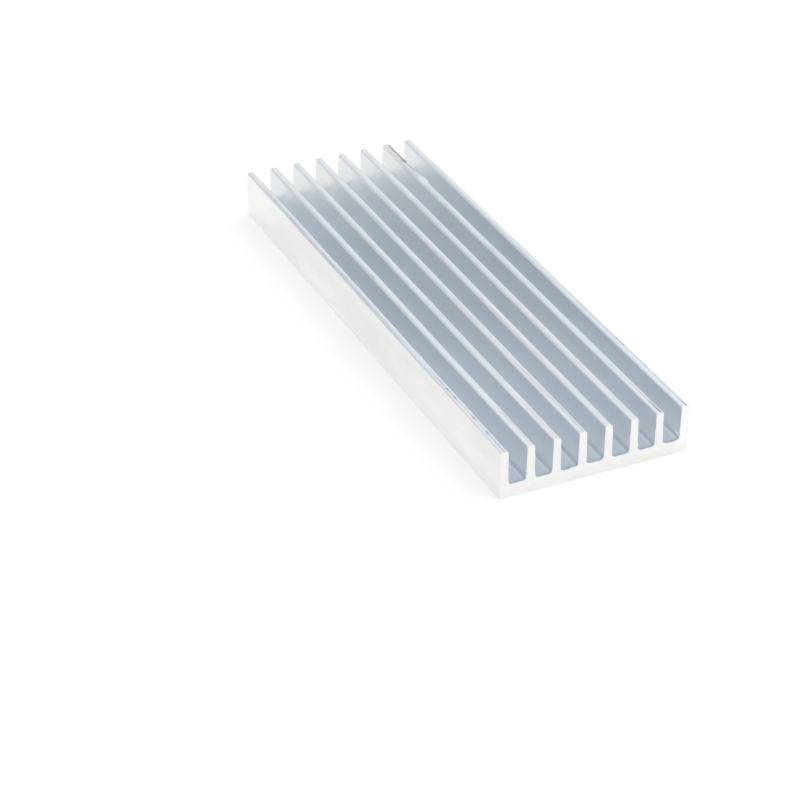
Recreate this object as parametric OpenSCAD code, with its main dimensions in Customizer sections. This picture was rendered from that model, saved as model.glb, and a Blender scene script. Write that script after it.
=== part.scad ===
// Extruded aluminium heat sink: one straight bar with a flat base plate and a comb of
// drafted fins, sawn square to length at both ends.
//
// Frame: origin at the middle of the underside, X across the fins, Y along the bar, Z up.
// Units: millimetres.

/* [Bar] */
// Length of the bar between its two sawn ends
bar_len = 100; // [20:1:300]

/* [Base plate] */
// Thickness of the plate under the channels
base_t = 2.3; // [1:0.1:8]
// Radius along the two long lower edges of the plate
base_edge_r = 0.4; // [0.1:0.05:0.8]

/* [Fins] */
// Number of fins across the bar
fin_count = 8; // [2:1:16]
// Spacing of the fins, middle to middle
fin_pitch = 4.4; // [3.2:0.1:12]
// Height of a fin above the floor of its channels
fin_h = 6; // [2:0.1:20]
// Thickness of a fin where it grows out of the plate
fin_root_t = 1.5; // [1.3:0.05:2.4]
// Thickness of a fin at its top, measured as if its corners were sharp
fin_tip_t = 1.3; // [0.9:0.05:1.5]
// Radius on the two long edges of a fin's top
fin_tip_r = 0.45; // [0.1:0.05:0.5]
// Radius of the fillet that joins a fin to the floor of a channel
floor_fillet_r = 0.6; // [0.1:0.05:0.8]

/* [Hidden] */

$fn = 48;

// Overall width: the outer fins stand flush with the sides of the plate
bar_w = (fin_count - 1) * fin_pitch + fin_root_t;
// Lean of a fin's side away from upright, which lets the die release the bar
draft = atan((fin_root_t - fin_tip_t) / 2 / fin_h);
// How far a fin's profile reaches down into the plate, so that the two join as one
root_depth = base_t / 2;
// Narrowest flat kept between two roundings that face each other
least_flat = 0.1;
// Clear width of a channel's floor, and the fillet that fits beside its neighbour on it
floor_w = fin_pitch - fin_root_t;
fillet_r = min(floor_fillet_r, (floor_w - least_flat) / 2);
// Rounding that leaves a flat on top of a fin
tip_r = min(fin_tip_r, (fin_tip_t - least_flat) / 2);
// A circle that touches a leaning side and a level face has its middle this share of its
// radius away from their sharp corner, along the level face
lean_share = (1 - sin(draft)) / cos(draft);

// Middle of fin number i, counted from the left side of the bar
function fin_x(i) = -bar_w / 2 + fin_root_t / 2 + i * fin_pitch;

// Section of the base plate, with its two lower corners rounded
module plate_section() {
    difference() {
        translate([-bar_w / 2, 0]) square([bar_w, base_t]);
        for (side = [-1, 1]) translate([side * (bar_w / 2 - base_edge_r), 0])
            difference() {
                translate([side > 0 ? 0 : -2 * base_edge_r, -base_edge_r])
                    square([2 * base_edge_r, 2 * base_edge_r]);
                translate([0, base_edge_r]) circle(base_edge_r);
            }
    }
}

// Section of one fin: straight leaning sides and a flat top with rounded corners.
// The floor of the channels is at height 0.
module fin_section() {
    // centre of the rounding circle, and where that circle touches the fin's side
    round_x = fin_tip_t / 2 - tip_r * lean_share;
    round_y = fin_h - tip_r;
    side_x = round_x + tip_r * cos(draft);
    side_y = round_y + tip_r * sin(draft);
    half_root = fin_root_t / 2;
    polygon([
        [-half_root, -root_depth], [half_root, -root_depth], [half_root, 0],
        [side_x, side_y], [round_x, fin_h], [-round_x, fin_h],
        [-side_x, side_y], [-half_root, 0]
    ]);
    for (side = [-1, 1]) translate([side * round_x, round_y]) circle(tip_r);
}

// Section of the fillet that fills the corner between a fin's right side and the floor.
// The sharp corner is the origin, and the fillet reaches into the fin and the plate.
module fillet_section() {
    // centre of the fillet's hollow, and where that circle touches the fin's side
    centre_x = fillet_r * lean_share;
    touch_x = centre_x - fillet_r * cos(draft);
    touch_y = fillet_r - fillet_r * sin(draft);
    inside_x = -fin_root_t / 2;
    difference() {
        polygon([
            [inside_x, -root_depth], [centre_x, -root_depth], [centre_x, 0],
            [touch_x, touch_y], [inside_x, touch_y]
        ]);
        translate([centre_x, fillet_r]) circle(fillet_r);
    }
}

// Section of the whole bar. The outer fins have a fillet on their inner side only.
module bar_section() {
    plate_section();
    for (i = [0 : fin_count - 1]) translate([fin_x(i), base_t]) {
        fin_section();
        if (i < fin_count - 1) translate([fin_root_t / 2, 0]) fillet_section();
        if (i > 0) mirror([1, 0]) translate([fin_root_t / 2, 0]) fillet_section();
    }
}

// The bar, pushed through the die along Y and sawn to length
module heat_sink() {
    color("silver")
        rotate([90, 0, 0])
            linear_extrude(height = bar_len, center = true)
                bar_section();
}

heat_sink();
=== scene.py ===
"""Extruded aluminium heat sink: the bar's finished surface, on a plain pale floor."""
import math
from collections import namedtuple

import bpy
import numpy as np
from mathutils import Matrix, Vector


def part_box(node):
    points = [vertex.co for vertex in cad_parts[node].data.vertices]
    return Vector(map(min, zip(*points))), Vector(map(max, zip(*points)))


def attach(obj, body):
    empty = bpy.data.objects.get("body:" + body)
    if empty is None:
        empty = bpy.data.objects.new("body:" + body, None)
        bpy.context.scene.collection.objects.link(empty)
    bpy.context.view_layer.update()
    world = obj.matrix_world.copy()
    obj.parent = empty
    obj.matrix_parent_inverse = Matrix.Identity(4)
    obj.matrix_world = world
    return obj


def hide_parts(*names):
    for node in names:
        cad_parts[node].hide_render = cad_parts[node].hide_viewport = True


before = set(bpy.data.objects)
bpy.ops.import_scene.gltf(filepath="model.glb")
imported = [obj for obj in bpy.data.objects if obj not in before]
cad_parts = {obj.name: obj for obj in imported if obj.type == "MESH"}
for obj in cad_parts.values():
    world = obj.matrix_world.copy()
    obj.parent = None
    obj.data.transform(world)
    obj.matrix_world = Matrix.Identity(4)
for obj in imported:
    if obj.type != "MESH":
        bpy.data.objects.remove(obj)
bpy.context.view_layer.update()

# ---------------------------------------------------------------- sizes, in millimetres
MM = 0.001
BOX_LOW, BOX_HIGH = ([value / MM for value in corner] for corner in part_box("heat_sink"))
BAR_W = BOX_HIGH[0] - BOX_LOW[0]
BAR_LEN = BOX_HIGH[1] - BOX_LOW[1]
BAR_H = BOX_HIGH[2] - BOX_LOW[2]
HALF_W = BAR_W / 2
HALF_LEN = BAR_LEN / 2
FIN_COUNT = 8
LAST_FIN = FIN_COUNT - 1
FIN_PITCH = 4.4
FIN_ROOT_T = BAR_W - LAST_FIN * FIN_PITCH
# how much thinner a fin is at its top than at its root
FIN_TAPER = 0.2
FIN_TIP_T = FIN_ROOT_T - FIN_TAPER
FIN_H = 6.0
BASE_T = BAR_H - FIN_H
# roundings of the fins' tips, of the channels' floors and of the bar's lower edges
TIP_R = 0.45
FLOOR_R = 0.6
BASE_EDGE_R = 0.4
# lean of a fin's side away from upright
DRAFT = math.atan((FIN_ROOT_T - FIN_TIP_T) / 2 / FIN_H)
# a circle that touches a leaning side and a level face has its middle this share of its
# radius away from their sharp corner
LEAN_SHARE = (1 - math.sin(DRAFT)) / math.cos(DRAFT)
# half the flat on top of a fin
TIP_FLAT = FIN_TIP_T / 2 - TIP_R * LEAN_SHARE

# spacing of the mesh's points round the section, by kind of surface
WALL_STEP = 0.45
TOP_STEP = 0.06
FLOOR_STEP = 0.28
UNDER_STEP = 0.9
# steps in each rounding
TIP_STEPS = 9
FILLET_STEPS = 6
EDGE_STEPS = 5
# spacing of the stations along the bar: in general, at the wear near the far end and near the
# near end, and the least that is kept
STATION_STEP = 1.5
FAR_STEP = 0.5
NEAR_STEP = 0.7
LEAST_STEP = 0.12
# how far the outermost stations lie from the sawn ends, and how far the close ones stay away from
# the first station and from the far end
END_MARGIN = 0.35
END_CLEAR = 0.6
# where the close stations near the near end stop
NEAR_STATIONS_TO = -44.0
# edges sharper than this stay sharp
SHARP_ANGLE = math.radians(35)

SEED = 7


def fin_x(index):
    """Middle of a fin, counted from the left side of the bar."""
    return -HALF_W + FIN_ROOT_T / 2 + index * FIN_PITCH


# ---------------------------------------------------------------- section of the bar
def line(start, end, step):
    """Points along a straight run, without its last point."""
    run, rise = end[0] - start[0], end[1] - start[1]
    count = max(1, round(math.hypot(run, rise) / step))
    return [(start[0] + run * k / count, start[1] + rise * k / count) for k in range(count)]


def arc(centre, radius, start_deg, end_deg, count):
    """Points along an arc, without its last point."""
    points = []
    for k in range(count):
        angle = math.radians(start_deg + (end_deg - start_deg) * k / count)
        points.append((centre[0] + radius * math.cos(angle), centre[1] + radius * math.sin(angle)))
    return points


def section_points():
    """The outline of the section, once round: underside, right side, fins from right to left,
    left side. The arcs touch the leaning sides of the fins."""
    lean = math.degrees(DRAFT)
    tip_z = BAR_H - TIP_R
    fillet_x = FIN_ROOT_T / 2 + FLOOR_R * LEAN_SHARE
    fillet_z = BASE_T + FLOOR_R
    edge_x = HALF_W - BASE_EDGE_R

    def tip_side(middle, side):
        """Where a tip's rounding touches the fin's side."""
        reach = TIP_FLAT + TIP_R * math.cos(DRAFT)
        return (middle + side * reach, tip_z + TIP_R * math.sin(DRAFT))

    def fillet_side(middle, side):
        """Where a floor fillet touches the fin's side."""
        reach = fillet_x - FLOOR_R * math.cos(DRAFT)
        return (middle + side * reach, fillet_z - FLOOR_R * math.sin(DRAFT))

    points = line((-edge_x, 0), (edge_x, 0), UNDER_STEP)
    points += arc((edge_x, BASE_EDGE_R), BASE_EDGE_R, -90, 0, EDGE_STEPS)
    points += line((HALF_W, BASE_EDGE_R), (HALF_W, BASE_T), WALL_STEP)
    points += line((HALF_W, BASE_T), tip_side(fin_x(LAST_FIN), 1), WALL_STEP)
    for index in reversed(range(FIN_COUNT)):
        middle = fin_x(index)
        points += arc((middle + TIP_FLAT, tip_z), TIP_R, lean, 90, TIP_STEPS)
        points += line((middle + TIP_FLAT, BAR_H), (middle - TIP_FLAT, BAR_H), TOP_STEP)
        points += arc((middle - TIP_FLAT, tip_z), TIP_R, 90, 180 - lean, TIP_STEPS)
        if index > 0:
            beside = fin_x(index - 1)
            points += line(tip_side(middle, -1), fillet_side(middle, -1), WALL_STEP)
            points += arc((middle - fillet_x, fillet_z), FLOOR_R, -lean, -90, FILLET_STEPS)
            points += line((middle - fillet_x, BASE_T), (beside + fillet_x, BASE_T), FLOOR_STEP)
            points += arc((beside + fillet_x, fillet_z), FLOOR_R, -90, -180 + lean, FILLET_STEPS)
            points += line(fillet_side(beside, 1), tip_side(beside, 1), WALL_STEP)
    points += line(tip_side(fin_x(0), -1), (-HALF_W, BASE_T), WALL_STEP)
    points += line((-HALF_W, BASE_T), (-HALF_W, BASE_EDGE_R), WALL_STEP)
    points += arc((-edge_x, BASE_EDGE_R), BASE_EDGE_R, 180, 270, EDGE_STEPS)
    return np.array(points)


def outward(points):
    """Unit normals of a closed outline that runs with the metal on its left."""
    along = np.roll(points, -1, axis=0) - np.roll(points, 1, axis=0)
    normal = np.stack([along[:, 1], -along[:, 0]], axis=1)
    return normal / np.linalg.norm(normal, axis=1, keepdims=True)


# ---------------------------------------------------------------- wear and painted shade, in millimetres
# Across a fin, a mark lies at a distance to the right of the fin's middle, with a half width.
# Along the bar it runs from where it starts, through where it is full and where it begins to
# fade, to where it ends. One that reaches the near end has only where it begins to fade and ends,
# and one that reaches the far end only where it starts and is full. Darkness is the share of a
# dark colour mixed into the metal's colour, up to 1; on some marks it stands for dirt, on others
# it is painted shade.

# a fin's top begins within this distance of where its sides begin to be rounded
TOP_SOFT = 0.1

# lines from the die, all along the bar: the depth of the usual ones and of a few deep ones, and
# the random number above which a line is deep
DIE_LINE_DEPTH = 0.006
DEEP_LINE_DEPTH = 0.010
DEEP_LINE_ABOVE = 0.95

# lines drawn along each fin's top: where they lie, how far one may be shifted, the least and most
# strength of one, and the length of the waves in which they come and go
DRAWN_LINES_AT = (-0.36, 0.0, 0.30)
DRAWN_SHIFT = 0.08
DRAWN_STRENGTH = (0.5, 1.0)
DRAWN_HALF_W = 0.10
DRAWN_DEPTH = 0.025
# the darkness of the drawn lines is painted shade in them
DRAWN_DARK = 0.24
DRAWN_WAVE = 31.0

# the painted shade on the left edge of each fin's top
SHADED_EDGE_ACROSS = (-0.45, 0.42)
SHADED_EDGE_ALONG = (-38, 14, 24, 46)
SHADED_EDGE_DARK = 0.20
# the painted shade on the near end of each fin's top; across the fin it grows between these two
# distances
SHADED_END_ACROSS = (-0.35, -0.1)
SHADED_END_ALONG = (-46, -34)
SHADED_END_DARK = 0.10
# the left edge of each fin's top near the near end, which is less rounded
SQUARE_EDGE_ACROSS = (-0.53, 0.25)
SQUARE_EDGE_ALONG = (-42, -26)
SQUARE_EDGE_RISE = 0.07
# the last fin's left edge near the near end, which is bare and bright: it lacks the painted shade
# of the other fins' left edges
BARE_EDGE_ACROSS = (-0.5, 0.35)
BARE_EDGE_ALONG = (-22, 0)
# the share of the lines' depth that is rubbed away there
BARE_EDGE_RUB = 0.8

# scratches and dull streaks along the top of a fin
Scratch = namedtuple("Scratch", "fin middle start end depth half_w dark")
SCRATCHES = [
    Scratch(0, 0.00, -51.0, -24.0, 0.03, 0.24, 0.22),
    Scratch(0, -0.28, -16.0, 42.0, 0.01, 0.40, 0.22),
    Scratch(1, 0.10, -51.0, -38.0, 0.02, 0.20, 0.12),
    Scratch(2, 0.10, -30.0, -8.0, 0.03, 0.14, 0.16),
    Scratch(2, -0.20, -51.0, -30.0, 0.02, 0.12, 0.18),
    Scratch(3, 0.06, -51.0, -30.0, 0.03, 0.14, 0.35),
    Scratch(3, -0.10, -32.0, -4.0, 0.02, 0.30, 0.16),
    Scratch(4, -0.42, -51.0, -6.0, 0.02, 0.22, 0.16),
    Scratch(4, 0.28, -51.0, -34.0, 0.02, 0.12, 0.30),
    Scratch(5, -0.36, -51.0, -12.0, 0.02, 0.16, 0.14),
    Scratch(5, 0.05, -22.0, 26.0, 0.03, 0.12, 0.14),
    Scratch(6, -0.06, -51.0, -34.0, 0.03, 0.20, 0.30),
    Scratch(6, 0.09, -51.0, -46.2, 0.12, 0.13, 0.8),
    Scratch(7, 0.12, -50.0, -8.0, 0.03, 0.14, 0.32),
    Scratch(7, 0.16, -51.5, -47.8, 0.02, 0.20, 0.55),
    Scratch(7, 0.34, -48.0, 8.0, 0.03, 0.14, 0.35),
]
# a scratch's depth varies by this share, in waves of this length, and its ends fade over twice
# this distance
SCRATCH_VARIES = 0.6
SCRATCH_WAVE = 2.7
SCRATCH_FADE = 0.8

# small pits in the top of a fin; the one of negative depth is a bulge
Pit = namedtuple("Pit", "fin middle place half_len half_w depth dark")
PITS = [
    Pit(0, 0.0, -30.3, 0.4, 0.26, 0.10, 0.6),
    Pit(0, 0.0, -33.0, 0.5, 0.26, 0.12, 0.7),
    Pit(0, 0.02, -39.6, 0.6, 0.26, 0.10, 0.6),
    Pit(0, 0.04, -43.9, 0.4, 0.26, 0.10, 0.6),
    Pit(7, 0.38, -24.9, 0.3, 0.28, 0.08, 0.8),
    Pit(7, 0.38, -28.0, 0.3, 0.28, 0.12, 1.0),
    Pit(7, 0.38, -29.8, 0.4, 0.30, 0.16, 1.3),
    Pit(7, 0.38, -37.2, 0.4, 0.30, 0.18, 1.3),
    Pit(4, 0.2, -41.9, 0.5, 0.24, -0.05, 0.0),
    Pit(3, 0.34, 18.0, 0.5, 0.26, 0.10, 0.6),
    Pit(1, -0.36, 6.5, 0.45, 0.24, 0.08, 0.5),
    Pit(6, 0.20, 42.9, 1.0, 0.60, 0.16, 0.75),
    Pit(6, 0.28, 44.2, 1.6, 0.50, 0.08, 0.45),
]
# a pit fades out at this many times its half length
PIT_FADE = 1.4

# waviness of the fins: its size at their tops, its length, the outer fins' share of it, and how
# it grows with height; along the middle of the bar the fins also lean to the right
SWAY = 0.03
SWAY_WAVE = 70.0
OUTER_SWAY = 0.5
SWAY_POWER = 1.5
LEAN = 0.08
LEAN_ALONG = (-25, 10, 34, 48)

# the crushed top edge at the far end of the seventh fin, and the dark line that leads up to it:
# where each starts along the bar, how far from the fin's middle it cuts in, and its darkness,
# which is painted shade
CRUSH_FIN = 6
CRUSH_FROM = 41.8
CRUSH_ALONG = (CRUSH_FROM - 0.4, CRUSH_FROM + 0.5)
CRUSH_AT = 0.10
CRUSH_DARK = 0.62
CRUSH_LINE_FROM = 38.6
CRUSH_LINE_ALONG = (CRUSH_LINE_FROM - 0.4, CRUSH_LINE_FROM + 0.6)
CRUSH_LINE_AT = 0.06
CRUSH_LINE_DARK = 0.42
# the stretch in which the line's darkness turns into the crushed edge's
CRUSH_DARKENS = (CRUSH_FROM - 1.2, CRUSH_FROM - 0.6)
# a paler spot there: its middle and half length, and the share of darkness that it lacks
CRUSH_PALE_SPOT = (CRUSH_FROM - 0.3, 0.9)
CRUSH_PALE = 0.5
# a cut begins to get its painted shade at the first depth and has all of it at the second
CRUSH_CUT_DARK = (0.01, 0.06)
# the slope that both were flattened to, and how uneven it is
CRUSH_SLOPE = math.radians(24)
CRUSH_UNEVEN = 0.03
CRUSH_WAVE = 3.1
# how far the edge was spread to the right
CRUSH_SPREAD = 0.20
CRUSH_SPREAD_ALONG = (CRUSH_FROM, CRUSH_FROM + 1.0)
# the part of the fin that gave way, and the two distances and heights between which that grows
STRUCK_RIGHT_OF = -0.3
STRUCK_ABOVE = BAR_H - 1.6
STRUCK_ACROSS = (0.0, 0.5)
STRUCK_UP = (BAR_H - 0.9, BAR_H - 0.3)
# the bright lip that was pushed over nearer to the middle of the bar
LIP_FROM = 33.3
LIP_TO = 36.9
LIP_ALONG = (LIP_FROM, LIP_FROM + 0.5, LIP_TO - 1.6, LIP_TO)
LIP_SPREAD = 0.34
# how much of the painted shade is taken away there, which leaves it bright
LIP_UNSHADED = 0.9
LIP_UNSHADED_ALONG = (LIP_FROM - 0.6, LIP_FROM, 35, 36)
# painted shade between the two, and round the crushed edge
CRUSH_SHADE = 0.14
SHADED_GAP_ALONG = (LIP_TO - 1.3, LIP_TO, CRUSH_FROM - 1.4, CRUSH_FROM + 0.4)
SHADED_CRUSH_ACROSS = (0.0, 0.6)
SHADED_CRUSH_ALONG = (CRUSH_FROM, CRUSH_FROM + 3)


def smooth(value, low, high):
    """0 below low, 1 above high, and a smooth turn between them."""
    share = np.clip((value - low) / (high - low), 0, 1)
    return share * share * (3 - 2 * share)


def fade(value, low, high):
    """1 below low, 0 above high, and a smooth turn between them."""
    return 1 - smooth(value, low, high)


def stretch(value, start, full, fading, end):
    """0 outside start to end, 1 from full to fading, and a smooth turn between them."""
    return smooth(value, start, full) * fade(value, fading, end)


def hump(value, middle, half):
    """1 at the middle, falling smoothly to 0 at half to either side."""
    return fade(np.abs(value - middle), 0, half)


def wavy(rng, places, size, wave):
    """A slow random wave along the bar, of three lengths in one."""
    shares = (1.0, 0.61, 0.37)
    phases = rng.uniform(0, 2 * math.pi, len(shares))
    result = np.zeros_like(places)
    for share, phase in zip(shares, phases):
        result += np.sin(2 * math.pi * places / (wave * share) + phase)
    return size * result / len(shares)


def station_places():
    """Places along the bar where the section is repeated, closer together at the wear."""
    limit = HALF_LEN - END_MARGIN
    places = list(np.linspace(-limit, limit, round(2 * limit / STATION_STEP) + 1))
    places += list(np.arange(LIP_FROM - FAR_STEP, HALF_LEN - END_CLEAR, FAR_STEP))
    places += list(np.arange(-limit + END_CLEAR, NEAR_STATIONS_TO, NEAR_STEP))
    for pit in PITS:
        places += [pit.place + pit.half_len * share for share in (-1, -0.5, 0, 0.5, 1)]
    places = sorted(p for p in places if -limit <= p <= limit)
    kept = [places[0]]
    for place in places[1:]:
        if place - kept[-1] > LEAST_STEP:
            kept.append(place)
    return np.array(kept)


class Skin:
    """The bar's skin, with a row for each station along the bar and a column for each point of
    the section: where every place lies, how far it is pushed out, and how dark it is."""

    def __init__(self, points, places):
        self.x = points[:, 0][None, :]
        self.z = points[:, 1][None, :]
        self.y = places[:, None]
        # the nearest fin, and the distance to the right of its middle
        self.fin = np.clip(np.round((self.x - fin_x(0)) / FIN_PITCH), 0, LAST_FIN)
        self.local = self.x - fin_x(self.fin)
        self.on_top = smooth(self.z, BAR_H - TIP_R - TOP_SOFT, BAR_H - TIP_R + TOP_SOFT)
        self.push = np.zeros((len(places), len(points)))
        self.grime_and_shade = np.zeros_like(self.push)

    def top_of(self, index):
        """1 on top of a fin, 0 elsewhere."""
        return (self.fin == index) * self.on_top

    def press_and_darken(self, where, depth, dark):
        """Presses the skin in and darkens it."""
        self.push = self.push - depth * where
        self.grime_and_shade = self.grime_and_shade + dark * where

    def settle(self, normals):
        """Moves every place as far as it is pushed."""
        self.x = self.x + normals[:, 0][None, :] * self.push
        self.z = self.z + normals[:, 1][None, :] * self.push


def add_die_lines(skin, rng):
    """Lines that are the same all along the bar, always into the metal."""
    count = skin.push.shape[1]
    skin.press_and_darken(rng.random(count)[None, :], DIE_LINE_DEPTH, 0)
    skin.press_and_darken((rng.random(count) > DEEP_LINE_ABOVE)[None, :], DEEP_LINE_DEPTH, 0)


def add_drawn_lines(skin, rng):
    """Lines along each fin's top, which come and go, darkened with painted shade."""
    for index in range(FIN_COUNT):
        for middle in DRAWN_LINES_AT:
            middle = middle + rng.uniform(-DRAWN_SHIFT, DRAWN_SHIFT)
            strength = rng.uniform(*DRAWN_STRENGTH) * (1 + wavy(rng, skin.y, 1.0, DRAWN_WAVE))
            across = hump(skin.local, middle, DRAWN_HALF_W)
            drawn = skin.top_of(index) * np.clip(strength, 0, None) * across
            skin.press_and_darken(drawn, DRAWN_DEPTH, DRAWN_DARK)


def add_top_shade_and_square_edges(skin):
    """Painted shade on stretches of the fins' tops, and left edges that are less rounded."""
    edge = skin.on_top * hump(skin.local, *SHADED_EDGE_ACROSS) * stretch(skin.y, *SHADED_EDGE_ALONG)
    end = skin.on_top * smooth(skin.local, *SHADED_END_ACROSS) * fade(skin.y, *SHADED_END_ALONG)
    square = skin.on_top * hump(skin.local, *SQUARE_EDGE_ACROSS) * fade(skin.y, *SQUARE_EDGE_ALONG)
    skin.press_and_darken(edge, 0, SHADED_EDGE_DARK)
    skin.press_and_darken(end, 0, SHADED_END_DARK)
    skin.press_and_darken(square, -SQUARE_EDGE_RISE, 0)


def add_scratches(skin, rng):
    """Scratches and dull streaks, of uneven depth."""
    for mark in SCRATCHES:
        along = stretch(skin.y, mark.start - SCRATCH_FADE, mark.start + SCRATCH_FADE,
                        mark.end - SCRATCH_FADE, mark.end + SCRATCH_FADE)
        where = skin.top_of(mark.fin) * along * hump(skin.local, mark.middle, mark.half_w)
        depth = mark.depth * (1 + wavy(rng, skin.y, SCRATCH_VARIES, SCRATCH_WAVE))
        skin.press_and_darken(where, depth, mark.dark)


def add_pits(skin):
    """Small pits, rounded both ways."""
    for pit in PITS:
        along = hump(skin.y, pit.place, pit.half_len * PIT_FADE)
        where = skin.top_of(pit.fin) * along * hump(skin.local, pit.middle, pit.half_w)
        skin.press_and_darken(where, pit.depth, pit.dark)


def rub_bare_edge(skin):
    """The last fin's left edge near the near end has lost its lines and its darkness, which is
    painted shade.
    """
    bare = skin.top_of(LAST_FIN) * hump(skin.local, *BARE_EDGE_ACROSS)
    bare = bare * fade(skin.y, *BARE_EDGE_ALONG)
    skin.push = skin.push * (1 - BARE_EDGE_RUB * bare)
    skin.grime_and_shade = skin.grime_and_shade * (1 - bare)


def sway_fins(skin, height, rng):
    """Slight waviness and lean of the fins, stronger towards their tops."""
    lean = LEAN * stretch(skin.y, *LEAN_ALONG)
    for index in range(FIN_COUNT):
        sway = wavy(rng, skin.y, SWAY, SWAY_WAVE)
        if index in (0, LAST_FIN):
            sway = sway * OUTER_SWAY
        skin.x = skin.x + (skin.fin == index) * (sway + lean) * height ** SWAY_POWER


def slope_cut(skin, rng):
    """How deep the slope of the crushed edge and of the line that leads up to it cuts in."""
    right, up = math.sin(CRUSH_SLOPE), math.cos(CRUSH_SLOPE)
    level = wavy(rng, skin.y, CRUSH_UNEVEN, CRUSH_WAVE)
    beyond = (skin.x - fin_x(CRUSH_FIN)) * right + (skin.z - BAR_H) * up + level
    at_edge = np.clip(beyond - CRUSH_AT * right, 0, None) * smooth(skin.y, *CRUSH_ALONG)
    at_line = np.clip(beyond - CRUSH_LINE_AT * right, 0, None) * smooth(skin.y, *CRUSH_LINE_ALONG)
    return np.maximum(at_edge, at_line)


def crush_edge(skin, plain_z, rng):
    """The crushed far end of the seventh fin's right edge: spread to the right and flattened to a
    rough slope, with a dark line that leads up to it and a bright lip beyond that. The darkness of
    the slope and of the line is painted shade."""
    on_fin = skin.fin == CRUSH_FIN
    struck = on_fin & (skin.local > STRUCK_RIGHT_OF) & (plain_z > STRUCK_ABOVE)
    at_edge = smooth(skin.local, *STRUCK_ACROSS) * smooth(plain_z, *STRUCK_UP)
    skin.x = skin.x + struck * CRUSH_SPREAD * at_edge * smooth(skin.y, *CRUSH_SPREAD_ALONG)
    cut = slope_cut(skin, rng) * struck
    skin.x = skin.x - cut * math.sin(CRUSH_SLOPE)
    skin.z = skin.z - cut * math.cos(CRUSH_SLOPE)
    dark = CRUSH_LINE_DARK + (CRUSH_DARK - CRUSH_LINE_DARK) * smooth(skin.y, *CRUSH_DARKENS)
    dark = dark * (1 - CRUSH_PALE * hump(skin.y, *CRUSH_PALE_SPOT))
    skin.press_and_darken(smooth(cut, *CRUSH_CUT_DARK), 0, dark)

    skin.x = skin.x + struck * LIP_SPREAD * at_edge * stretch(skin.y, *LIP_ALONG)
    skin.grime_and_shade = skin.grime_and_shade * (1 - LIP_UNSHADED * on_fin * stretch(skin.y, *LIP_UNSHADED_ALONG))
    shade_round_crush = np.maximum(hump(skin.local, *SHADED_CRUSH_ACROSS) * smooth(skin.y, *SHADED_CRUSH_ALONG),
                      stretch(skin.y, *SHADED_GAP_ALONG))
    skin.press_and_darken(skin.top_of(CRUSH_FIN) * shade_round_crush, 0, CRUSH_SHADE)


def worn_and_shaded_skin(points, normals, places):
    """The section at every station, with die lines, slight waviness, marks of use and painted
    shade:
    arrays of x, of z and of how dark the marks and the painted shade leave each place."""
    rng = np.random.default_rng(SEED)
    skin = Skin(points, places)
    plain_z = skin.z
    add_die_lines(skin, rng)
    add_drawn_lines(skin, rng)
    add_top_shade_and_square_edges(skin)
    add_scratches(skin, rng)
    add_pits(skin)
    rub_bare_edge(skin)
    skin.settle(normals)
    sway_fins(skin, np.clip((plain_z - BASE_T) / FIN_H, 0, 1), rng)
    crush_edge(skin, plain_z, rng)
    return np.clip(skin.x, -HALF_W, HALF_W), np.clip(skin.z, 0, BAR_H), skin.grime_and_shade


# ---------------------------------------------------------------- sawn ends, in millimetres
# sawn edges: the least chamfer, how much more an uneven one has, the random number above which it
# has more, and the shifts over which that number is evened out
CHAMFER = 0.05
CHAMFER_MORE = 0.28
CHAMFER_ABOVE = 0.35
CHAMFER_EVENED = range(-3, 4)
# the rings of a sawn edge: the share of its chamfer that each lies back from the sawn face, and
# the share that it lies inward
EDGE_RINGS = [(0.0, 1.0), (0.35, 0.3), (1.0, 0.0)]
# the longest lip of metal that the saw left over a channel, and a wall's share of that
DRAG_REACH = 0.22
DRAG_ON_WALLS = 0.3
# the heights between which the lips turn from a floor's to a wall's, and then end
DRAG_FLOOR_TO = (BASE_T + FLOOR_R, BASE_T + 2.4)
DRAG_WALL_TO = (BAR_H - 1.6, BAR_H - 0.8)
# the random numbers between which a lip grows from nothing to its full length
DRAG_CHANCE = (0.45, 0.80)
# the painted shade just behind the lips on the floors, and the heights between which it ends
DRAG_SHADE = 0.28
DRAG_SHADE_TO = (BASE_T + 0.05, BASE_T + 0.7)
# the last fin's wall has no lip above this, because it came off in a curl
CURL_ABOVE = BASE_T + 0.3

# the curl that the saw left low on the last fin's wall: its distance to the right of the wall,
# its distance from the near end, and its height
CURL_PATH = [
    (-0.08, 1.02, 3.52), (-0.11, 0.80, 3.38), (-0.12, 0.58, 3.23), (-0.10, 0.36, 3.07),
    (0.02, 0.14, 2.88),
]
# a dark sliver under the curl, a painted shadow, lies to the right of it, in the wall, and below
# it
CURL_SHADOW_RIGHT = 0.09
CURL_SHADOW_BELOW = 0.12
CURL_SHADOW_DARK = 1.0
# the thin curl round the last fin's tip: its angles from upright, how far it stands off the
# rounding, and its distance from the near end
TIP_CURL_DEGREES = (25, 38, 52, 66, 80)
TIP_CURL_OFF = 0.01
TIP_CURL_BACK = 0.09
TIP_CURL_DARK = 0.8


def edge_chamfers(rng, count):
    """How far a sawn edge is broken at each point of the section: a small uneven chamfer."""
    raw = rng.random(count)
    soft = sum(np.roll(raw, shift) for shift in CHAMFER_EVENED) / len(CHAMFER_EVENED)
    return CHAMFER + CHAMFER_MORE * np.clip(soft - CHAMFER_ABOVE, 0, None)


def over_channel(points):
    """Which points of the section face a channel or a fin's top, and not the outside."""
    just_under_floors = BASE_T - 0.01
    inside = HALF_W - FIN_ROOT_T / 2
    return (points[:, 1] > just_under_floors) & (np.abs(points[:, 0]) < inside)


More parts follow.
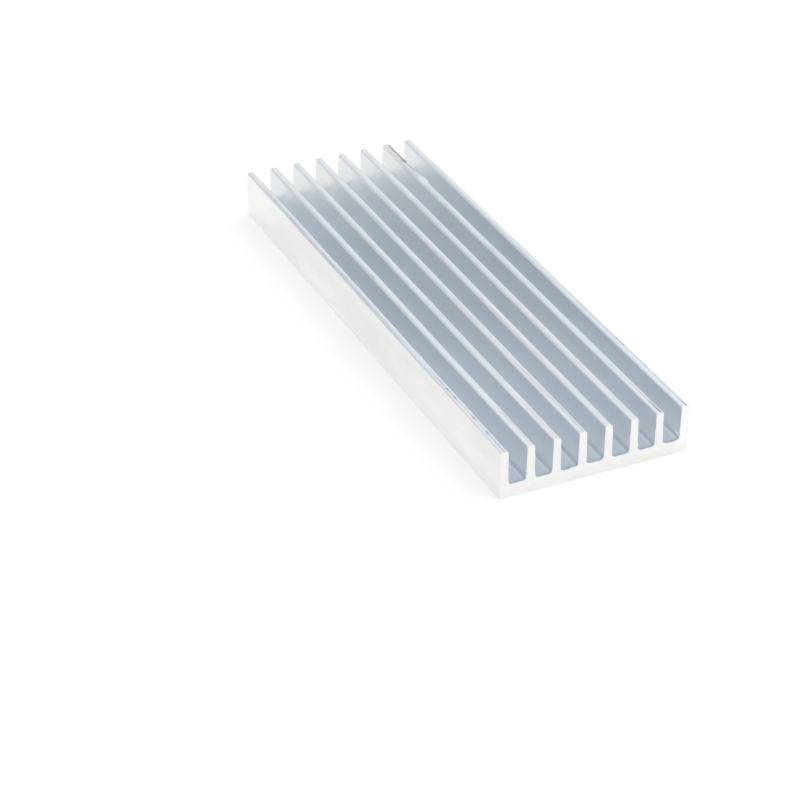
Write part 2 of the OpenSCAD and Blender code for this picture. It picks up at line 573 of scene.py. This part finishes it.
def dragged_lips(rng, points):
    """How far the saw dragged metal out over the channels at each point of the section: small
    uneven lips along the floors of the channels, and smaller ones up their walls."""
    x, z = points[:, 0], points[:, 1]
    raw = rng.random(len(points))
    soft = (raw + np.roll(raw, 1) + np.roll(raw, 2)) / 3
    share = DRAG_ON_WALLS + (1 - DRAG_ON_WALLS) * fade(z, *DRAG_FLOOR_TO)
    share = share * fade(z, *DRAG_WALL_TO)
    came_off = (x > fin_x(LAST_FIN) - FIN_ROOT_T) & (z > CURL_ABOVE)
    share = share * ~came_off
    return DRAG_REACH * over_channel(points) * share * smooth(soft, *DRAG_CHANCE)


def edge_rings(x, z, darkening, normals, chamfer, lips, end):
    """The rings of a sawn edge, from the sawn face on. The end is -1 near and 1 far."""
    rings = []
    for back, share in EDGE_RINGS:
        inward = normals * ((chamfer - lips) * share)[:, None]
        y = end * (HALF_LEN - chamfer * back)
        rings.append((x - inward[:, 0], y, z - inward[:, 1], darkening))
    return rings


def sliver(path, half_width, half_thick, across):
    """A thin tapering curl of metal along a path: vertices and faces."""
    verts, faces = [], []
    last = len(path) - 1
    side = Vector(across).normalized()
    # the stretch of a half wave that gives a blunt start and a thin end
    wave_from, wave_run = 0.12, 0.85
    for k, point in enumerate(path):
        ahead = Vector(path[min(k + 1, last)]) - Vector(path[max(k - 1, 0)])
        lift = ahead.cross(side).normalized()
        taper = math.sin(math.pi * (wave_from + wave_run * k / last))
        wide, thick = side * half_width * taper, lift * half_thick * taper
        verts += [Vector(point) + offset for offset in (wide, thick, -wide, -thick)]
    for k in range(last):
        for j in range(4):
            n = (j + 1) % 4
            faces.append((4 * k + j, 4 * k + n, 4 * k + 4 + n, 4 * k + 4 + j))
    faces.append((3, 2, 1, 0))
    faces.append(tuple(4 * last + j for j in range(4)))
    return verts, faces


def curls():
    """Curls that the saw left on the last fin's near end, and a dark sliver, each with its
    darkness: a bright curl low on the wall, the sliver under it, which is a painted shadow, and a
    thin curl at the tip."""
    wall_x = fin_x(LAST_FIN) - FIN_ROOT_T / 2
    low = [(wall_x + right, -HALF_LEN + back, z) for right, back, z in CURL_PATH]
    # a dark sliver under the low curl, a painted shadow
    root = [(x + CURL_SHADOW_RIGHT, y, z - CURL_SHADOW_BELOW) for x, y, z in low]
    centre_x, centre_z = fin_x(LAST_FIN) + TIP_FLAT, BAR_H - TIP_R
    reach = TIP_R + TIP_CURL_OFF
    tip = []
    for degrees in TIP_CURL_DEGREES:
        angle = math.radians(degrees)
        x, z = centre_x + reach * math.sin(angle), centre_z + reach * math.cos(angle)
        tip.append((x, -HALF_LEN + TIP_CURL_BACK, z))
    to_left, along_bar = (-1, 0, 0), (0, 1, 0)
    return [
        (sliver(low, half_width=0.085, half_thick=0.03, across=to_left), 0.0),
        (sliver(root, half_width=0.04, half_thick=0.05, across=to_left), CURL_SHADOW_DARK),
        (sliver(tip, half_width=0.07, half_thick=0.03, across=along_bar), TIP_CURL_DARK),
    ]


# ---------------------------------------------------------------- mesh of the bar
def bar_rings(points):
    """The rings of the bar from its near end to its far end, each with x, y, z and darkness: a
    sawn edge, the full section at each station, and the other sawn edge."""
    normals = outward(points)
    count = len(points)
    places = station_places()
    x, z, grime_and_shade = worn_and_shaded_skin(points, normals, places)
    rng = np.random.default_rng(SEED + 1)
    near, far = edge_chamfers(rng, count), edge_chamfers(rng, count)
    near_lips, far_lips = dragged_lips(rng, points), dragged_lips(rng, points)

    # painted shade just behind the lips on the floors
    shade_behind_lips = DRAG_SHADE * fade(points[:, 1], *DRAG_SHADE_TO) * over_channel(points)
    grime_and_shade[0] += shade_behind_lips
    grime_and_shade[-1] += shade_behind_lips

    rings = edge_rings(x[0], z[0], grime_and_shade[0], normals, near, near_lips, -1)
    for j, place in enumerate(places):
        rings.append((x[j], np.full(count, place), z[j], grime_and_shade[j]))
    rings += reversed(edge_rings(x[-1], z[-1], grime_and_shade[-1], normals, far, far_lips, 1))
    return rings


def bar_faces(ring_count, count):
    """The faces between the rings and over both ends, and 1 for each that the saw made."""
    here = np.arange(count)
    ahead = (here + 1) % count
    faces = []
    for j in range(ring_count - 1):
        low, high = j * count, (j + 1) * count
        faces += np.stack([low + here, high + here, high + ahead, low + ahead], axis=1).tolist()
    faces.append(list(range(count)))
    faces.append([(ring_count - 1) * count + i for i in reversed(range(count))])
    edge_bands = len(EDGE_RINGS) - 1
    sawn = np.zeros(len(faces), dtype=int)
    sawn[:edge_bands * count] = 1
    sawn[(ring_count - 1 - edge_bands) * count:] = 1
    return faces, sawn.tolist()


def bar_mesh():
    """The whole bar as one mesh, with its curls and a darkness for each point."""
    points = section_points()
    rings = bar_rings(points)
    faces, sawn = bar_faces(len(rings), len(points))
    verts = np.concatenate([np.stack(ring[:3], axis=1) for ring in rings]).tolist()
    darkening = np.concatenate([ring[3] for ring in rings]).tolist()
    for (curl_verts, curl_faces), darkness in curls():
        first = len(verts)
        verts += [list(v) for v in curl_verts]
        darkening += [darkness] * len(curl_verts)
        faces += [[first + i for i in face] for face in curl_faces]
        sawn += [0] * len(curl_faces)

    mesh = bpy.data.meshes.new("bar")
    mesh.from_pydata((np.array(verts) * MM).tolist(), [], faces)
    mesh.polygons.foreach_set("use_smooth", [True] * len(faces))
    mesh.polygons.foreach_set("material_index", sawn)
    mesh.attributes.new("grime_and_shade", "FLOAT", "POINT").data.foreach_set("value", darkening)
    mesh.update()
    mesh.set_sharp_from_angle(angle=SHARP_ANGLE)
    return mesh


# ---------------------------------------------------------------- nodes
def new_material(name):
    """A new material, its node tree and its main shader."""
    mat = bpy.data.materials.new(name)
    mat.use_nodes = True
    return mat, mat.node_tree, mat.node_tree.nodes["Principled BSDF"]


def add_node(tree, kind, **settings):
    """A new node with its settings."""
    node = tree.nodes.new(kind)
    for key, value in settings.items():
        setattr(node, key, value)
    return node


def calc(tree, operation, first, second=None, clamp=False):
    """A Math node on one or two sockets or numbers."""
    node = add_node(tree, "ShaderNodeMath", operation=operation, use_clamp=clamp)
    for socket, value in zip(node.inputs, (first, second)):
        if value is None:
            continue
        if isinstance(value, (int, float)):
            socket.default_value = value
        else:
            tree.links.new(value, socket)
    return node.outputs["Value"]


def total(tree, first, *others):
    """The sum of several sockets."""
    for other in others:
        first = calc(tree, "ADD", first, other)
    return first


def ramp(tree, value, low, high, to_low=0.0, to_high=1.0):
    """A smooth map from low..high to to_low..to_high."""
    node = add_node(tree, "ShaderNodeMapRange", interpolation_type="SMOOTHSTEP")
    tree.links.new(value, node.inputs["Value"])
    node.inputs["From Min"].default_value = low
    node.inputs["From Max"].default_value = high
    node.inputs["To Min"].default_value = to_low
    node.inputs["To Max"].default_value = to_high
    return node.outputs["Result"]


def mix(tree, factor, first, second):
    """Blend of two colours, each a socket or a tuple."""
    node = add_node(tree, "ShaderNodeMix", data_type="RGBA")
    tree.links.new(factor, node.inputs["Factor"])
    # the node has sockets of the same name for numbers; these are the ones for colours
    colour_a, colour_b, blended = node.inputs[6], node.inputs[7], node.outputs[2]
    for socket, value in ((colour_a, first), (colour_b, second)):
        if isinstance(value, tuple):
            socket.default_value = (*value, 1)
        else:
            tree.links.new(value, socket)
    return blended


def changing(tree, value, colour, *changes):
    """A colour that changes with a value: each change is where it starts, where it ends, and
    what the colour turns to."""
    for start, end, later in changes:
        colour = mix(tree, ramp(tree, value, start, end), colour, later)
    return colour


def place_mm(tree):
    """The object's own coordinates, in millimetres, and their three parts."""
    coords = add_node(tree, "ShaderNodeTexCoord")
    scaled = add_node(tree, "ShaderNodeVectorMath", operation="SCALE")
    tree.links.new(coords.outputs["Object"], scaled.inputs[0])
    scaled.inputs["Scale"].default_value = 1 / MM
    parts = add_node(tree, "ShaderNodeSeparateXYZ")
    tree.links.new(scaled.outputs["Vector"], parts.inputs["Vector"])
    return scaled.outputs["Vector"], parts.outputs


def noise(tree, vector, waves, detail=3.0, rough=0.5):
    """Noise with its own number of waves per millimetre on each axis."""
    node = add_node(tree, "ShaderNodeVectorMath", operation="MULTIPLY")
    tree.links.new(vector, node.inputs[0])
    node.inputs[1].default_value = waves
    tex = add_node(tree, "ShaderNodeTexNoise")
    tree.links.new(node.outputs["Vector"], tex.inputs["Vector"])
    tex.inputs["Scale"].default_value = 1.0
    tex.inputs["Detail"].default_value = detail
    tex.inputs["Roughness"].default_value = rough
    return tex.outputs["Fac"]


def bump(tree, height, depth_mm, strength, onto=None):
    """A bump of a given depth, on top of another one if there is one."""
    node = add_node(tree, "ShaderNodeBump")
    node.inputs["Distance"].default_value = depth_mm * MM
    node.inputs["Strength"].default_value = strength
    tree.links.new(height, node.inputs["Height"])
    if onto is not None:
        tree.links.new(onto, node.inputs["Normal"])
    return node.outputs["Normal"]


# ---------------------------------------------------------------- extruded aluminium
# places and heights in the materials are millimetres; noises have waves per millimetre across,
# along and up the bar

# colours of the channels' floors, of their walls and of the fins' tops, from the near end on; the
# floors' darkness is painted shade in the channels, and the changes along the bar are partly
# painted reflections
CHANNEL_NEAR = (0.672, 0.735, 0.778)
CHANNEL_MIDDLE = (0.620, 0.680, 0.722)
CHANNEL_FAR = (0.745, 0.805, 0.845)
CHANNEL_END = (0.830, 0.870, 0.890)
WALL_NEAR = (0.974, 0.987, 0.996)
WALL_DARK = (0.963, 0.974, 0.980)
WALL_LIGHT = (0.973, 0.984, 0.990)
WALL_END = (0.765, 0.790, 0.800)
TOP_NEAR = (0.948, 0.985, 0.995)
TOP_MIDDLE = (0.915, 0.952, 0.972)
TOP_END = (0.950, 0.955, 0.945)
# colours of the outer faces and the underside: low down, high up and in patches; brighter low down
# as a painted reflection
OUTER_LOW = (0.948, 0.950, 0.938)
OUTER_HIGH = (0.836, 0.840, 0.834)
OUTER_PATCH = (0.880, 0.892, 0.878)
# colours where the bar was handled, and the dark colour of its wear, dirt and painted shade
HANDLED = (0.77, 0.79, 0.80)
DIRT_AND_SHADE = (0.30, 0.31, 0.33)

# the usual span of a noise's values
USUAL_NOISE = (0.3, 0.7)
# roughness of the clean metal, how much the lines along it vary that, and what the far end,
# handling, and dirt and painted shade add
SATIN = (0.285, 0.305)
LINES_ROUGH = 0.005
FAR_ROUGH = 0.02
HANDLED_ROUGH = 0.3
DIRT_AND_SHADE_ROUGH = 0.25
# reflections are drawn out across the lines from the die, so a quarter turn away from the bar's
# length
DRAWN_OUT = 0.55
QUARTER_TURN = 0.25


def channel_colour(tree, parts, lines):
    """Darker floors, darkest halfway along the bar, bright walls and bright tops: painted shade in
    the channels, and partly painted reflections that change along the bar.
    """
    y, z = parts["Y"], parts["Z"]
    floors = changing(tree, y, CHANNEL_NEAR, (-20.0, 0.0, CHANNEL_MIDDLE),
                      (28.0, 38.0, CHANNEL_FAR), (38.0, 46.0, CHANNEL_END))
    walls = changing(tree, lines, WALL_DARK, (*USUAL_NOISE, WALL_LIGHT))
    walls = changing(tree, y, WALL_NEAR, (-14.0, 4.0, walls), (41.0, 48.0, WALL_END))
    tops = changing(tree, y, TOP_NEAR, (-44.0, -28.0, TOP_MIDDLE), (34.0, 44.0, TOP_END))
    return changing(tree, z, floors, (BASE_T + 0.1, BASE_T + 0.7, walls),
                    (BAR_H - 0.4, BAR_H - 0.1, tops))


def outer_faces(tree, parts):
    """1 on the bar's two outer sides and its underside, 0 elsewhere."""
    off_middle = calc(tree, "ABSOLUTE", parts["X"])
    sides = ramp(tree, off_middle, HALF_W - 0.32, HALF_W - 0.12)
    underside = ramp(tree, parts["Z"], 0.5, 0.9, 1.0, 0.0)
    return calc(tree, "MAXIMUM", sides, underside)


def outer_colour(tree, parts, place, mottle):
    """More neutral than the channels, a little brighter low down as a painted reflection, with
    faint patches.
    """
    height = calc(tree, "ADD", parts["Z"], ramp(tree, mottle, 0.35, 0.65, -2.2, 2.2))
    colour = changing(tree, height, OUTER_LOW, (0.0, 8.0, OUTER_HIGH))
    patches = noise(tree, place, (0.5, 0.16, 0.5), detail=2.0)
    patches = ramp(tree, patches, 0.42, 0.62, 0.0, 0.5)
    return mix(tree, patches, colour, OUTER_PATCH)


def skin_material():
    """Extruded aluminium: satin, with fine lines along the bar from the die, and darker where
    the mesh says that it is marked by use, and where it holds painted shade."""
    mat, tree, bsdf = new_material("extruded_aluminium")
    place, parts = place_mm(tree)
    broad_lines = noise(tree, place, (1.4, 0.006, 1.4), detail=2.0)
    fine_lines = noise(tree, place, (6.0, 0.02, 6.0), detail=2.0)
    mottle = noise(tree, place, (0.16, 0.05, 0.16))
    dashes = noise(tree, place, (0.5, 0.35, 0.5), detail=1.0)
    specks = noise(tree, place, (1.4, 0.8, 1.4), rough=0.6)

    outer = outer_faces(tree, parts)
    colour = channel_colour(tree, parts, broad_lines)
    colour = mix(tree, outer, colour, outer_colour(tree, parts, place, mottle))
    handled = calc(tree, "MULTIPLY", ramp(tree, specks, 0.64, 0.78, 0.0, 0.16), outer)
    colour = mix(tree, handled, colour, HANDLED)
    # darkness from the mesh: real marks of use, and painted shade
    mesh_darkness = add_node(tree, "ShaderNodeAttribute", attribute_name="grime_and_shade").outputs["Fac"]
    darkening = calc(tree, "MULTIPLY", mesh_darkness, ramp(tree, dashes, 0.38, 0.58, 0.70, 1.0), clamp=True)
    colour = mix(tree, darkening, colour, DIRT_AND_SHADE)
    tree.links.new(colour, bsdf.inputs["Base Color"])

    rough = total(tree,
                  ramp(tree, mottle, *USUAL_NOISE, *SATIN),
                  ramp(tree, broad_lines, *USUAL_NOISE, -LINES_ROUGH, LINES_ROUGH),
                  ramp(tree, parts["Y"], 26.0, 40.0, 0.0, FAR_ROUGH),
                  calc(tree, "MULTIPLY", handled, HANDLED_ROUGH),
                  calc(tree, "MULTIPLY", darkening, DIRT_AND_SHADE_ROUGH))
    tree.links.new(rough, bsdf.inputs["Roughness"])

    normal = bump(tree, broad_lines, depth_mm=0.01, strength=0.3)
    normal = bump(tree, fine_lines, depth_mm=0.002, strength=0.3, onto=normal)
    tree.links.new(normal, bsdf.inputs["Normal"])

    along_bar = add_node(tree, "ShaderNodeCombineXYZ")
    along_bar.inputs["Y"].default_value = 1
    tree.links.new(along_bar.outputs["Vector"], bsdf.inputs["Tangent"])
    bsdf.inputs["Metallic"].default_value = 1.0
    bsdf.inputs["Anisotropic"].default_value = DRAWN_OUT
    bsdf.inputs["Anisotropic Rotation"].default_value = QUARTER_TURN
    return mat


# ---------------------------------------------------------------- sawn aluminium
SAWN_DARK = (0.885, 0.889, 0.873)
SAWN_LIGHT = (0.910, 0.910, 0.892)
# the end of the last fin, and of the plate below it, is brighter than the rest
SAWN_LAST_FIN = (0.945, 0.948, 0.935)
SAWN_ROUGH = (0.5, 0.62)


def sawn_material():
    """The sawn ends: bright and matt, with faint marks of the saw across the fins."""
    mat, tree, bsdf = new_material("sawn_aluminium")
    place, parts = place_mm(tree)
    marks = noise(tree, place, (0.35, 0.2, 7.0), rough=0.6)
    mottle = noise(tree, place, (0.9, 0.3, 0.9))
    colour = changing(tree, mottle, SAWN_DARK, (0.35, 0.65, SAWN_LIGHT))
    colour = changing(tree, parts["X"], colour, (HALF_W - 3.4, HALF_W - 0.6, SAWN_LAST_FIN))
    tree.links.new(colour, bsdf.inputs["Base Color"])
    tree.links.new(ramp(tree, marks, *USUAL_NOISE, *SAWN_ROUGH), bsdf.inputs["Roughness"])
    tree.links.new(bump(tree, marks, depth_mm=0.03, strength=0.35), bsdf.inputs["Normal"])
    bsdf.inputs["Metallic"].default_value = 1.0
    return mat


# ---------------------------------------------------------------- studio
# the camera: where it stands, in metres, how far it is turned from the bar's length to the right,
# how far it looks down, how far it is rolled, and its lens and sensor in millimetres
CAMERA_AT = (-0.16305, -0.33058, 0.21622)
CAMERA_TURN = math.radians(24.94)
CAMERA_DOWN = math.radians(32.12)
CAMERA_ROLL = math.radians(0.09)
CAMERA_LENS = 115.27
CAMERA_SENSOR = 36

# the tent of light: how bright it is level with the bar, how much brighter toward its right,
# its back and its top, and its slightly cool colour
SKY_LEVEL = 0.78
SKY_RISE = (0.15, -0.15, 0.27)
SKY_COLOUR = (0.97, 0.99, 1.04)

# the floor: its size in metres, its grey, and what it lacks to look white out of the shadow
FLOOR_SIZE = 6
FLOOR_COLOUR = 0.86
FLOOR_LIFT = 0.24

# light reaches the channels' floors only after many reflections
REFLECTIONS = 12


def make_camera():
    """A long lens above and to the left of the bar's near end."""
    cam_data = bpy.data.cameras.new("camera")
    cam = bpy.data.objects.new("camera", cam_data)
    bpy.context.scene.collection.objects.link(cam)
    level = math.cos(CAMERA_DOWN)
    look = Vector((math.sin(CAMERA_TURN) * level, math.cos(CAMERA_TURN) * level,
                   -math.sin(CAMERA_DOWN)))
    flat_right = look.cross(Vector((0, 0, 1))).normalized()
    flat_up = flat_right.cross(look)
    right = math.cos(CAMERA_ROLL) * flat_right + math.sin(CAMERA_ROLL) * flat_up
    up = -math.sin(CAMERA_ROLL) * flat_right + math.cos(CAMERA_ROLL) * flat_up
    basis = Matrix((right, up, -look)).transposed()
    cam.matrix_world = Matrix.Translation(Vector(CAMERA_AT)) @ basis.to_4x4()
    cam_data.sensor_width = CAMERA_SENSOR
    cam_data.lens = CAMERA_LENS
    cam_data.clip_start = 0.01
    cam_data.clip_end = 10
    bpy.context.scene.camera = cam


def make_world():
    """A bright tent of light, stronger from above, from the front and from the right."""
    world = bpy.data.worlds.new("studio")
    world.use_nodes = True
    tree = world.node_tree
    coords = add_node(tree, "ShaderNodeTexCoord")
    toward = add_node(tree, "ShaderNodeVectorMath", operation="DOT_PRODUCT")
    tree.links.new(coords.outputs["Generated"], toward.inputs[0])
    toward.inputs[1].default_value = SKY_RISE
    strength = calc(tree, "ADD", toward.outputs["Value"], SKY_LEVEL)
    background = tree.nodes["Background"]
    background.inputs["Color"].default_value = (*SKY_COLOUR, 1)
    tree.links.new(strength, background.inputs["Strength"])
    bpy.context.scene.world = world


def make_floor():
    """A white table. The camera, mirror-like metal and glass see it as white, with the bar's soft
    shadow on it."""
    bpy.ops.mesh.primitive_plane_add(size=FLOOR_SIZE)
    floor = bpy.context.object
    floor.name = "floor"
    mat = bpy.data.materials.new("floor")
    mat.use_nodes = True
    tree = mat.node_tree
    tree.nodes.remove(tree.nodes["Principled BSDF"])
    diffuse = add_node(tree, "ShaderNodeBsdfDiffuse")
    # the light's coolness is taken out again, so the floor looks neutral
    diffuse.inputs["Color"].default_value = (*(FLOOR_COLOUR / part for part in SKY_COLOUR), 1)
    lift = add_node(tree, "ShaderNodeEmission")
    path = add_node(tree, "ShaderNodeLightPath").outputs
    seen = calc(tree, "MAXIMUM", path["Is Camera Ray"], path["Is Glossy Ray"])
    seen = calc(tree, "MAXIMUM", seen, path["Is Transmission Ray"])
    tree.links.new(calc(tree, "MULTIPLY", seen, FLOOR_LIFT), lift.inputs["Strength"])
    both = add_node(tree, "ShaderNodeAddShader")
    tree.links.new(diffuse.outputs["BSDF"], both.inputs[0])
    tree.links.new(lift.outputs["Emission"], both.inputs[1])
    tree.links.new(both.outputs["Shader"], tree.nodes["Material Output"].inputs["Surface"])
    floor.data.materials.append(mat)


def make_bar():
    """The bar, in place of the plain CAD one."""
    bar = bpy.data.objects.new("bar", bar_mesh())
    bpy.context.scene.collection.objects.link(bar)
    bar.data.materials.append(skin_material())
    bar.data.materials.append(sawn_material())
    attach(bar, "root")
    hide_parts("heat_sink")


make_camera()
make_world()
make_floor()
make_bar()
bpy.context.scene.cycles.glossy_bounces = REFLECTIONS
bpy.context.scene.view_settings.view_transform = "Standard"
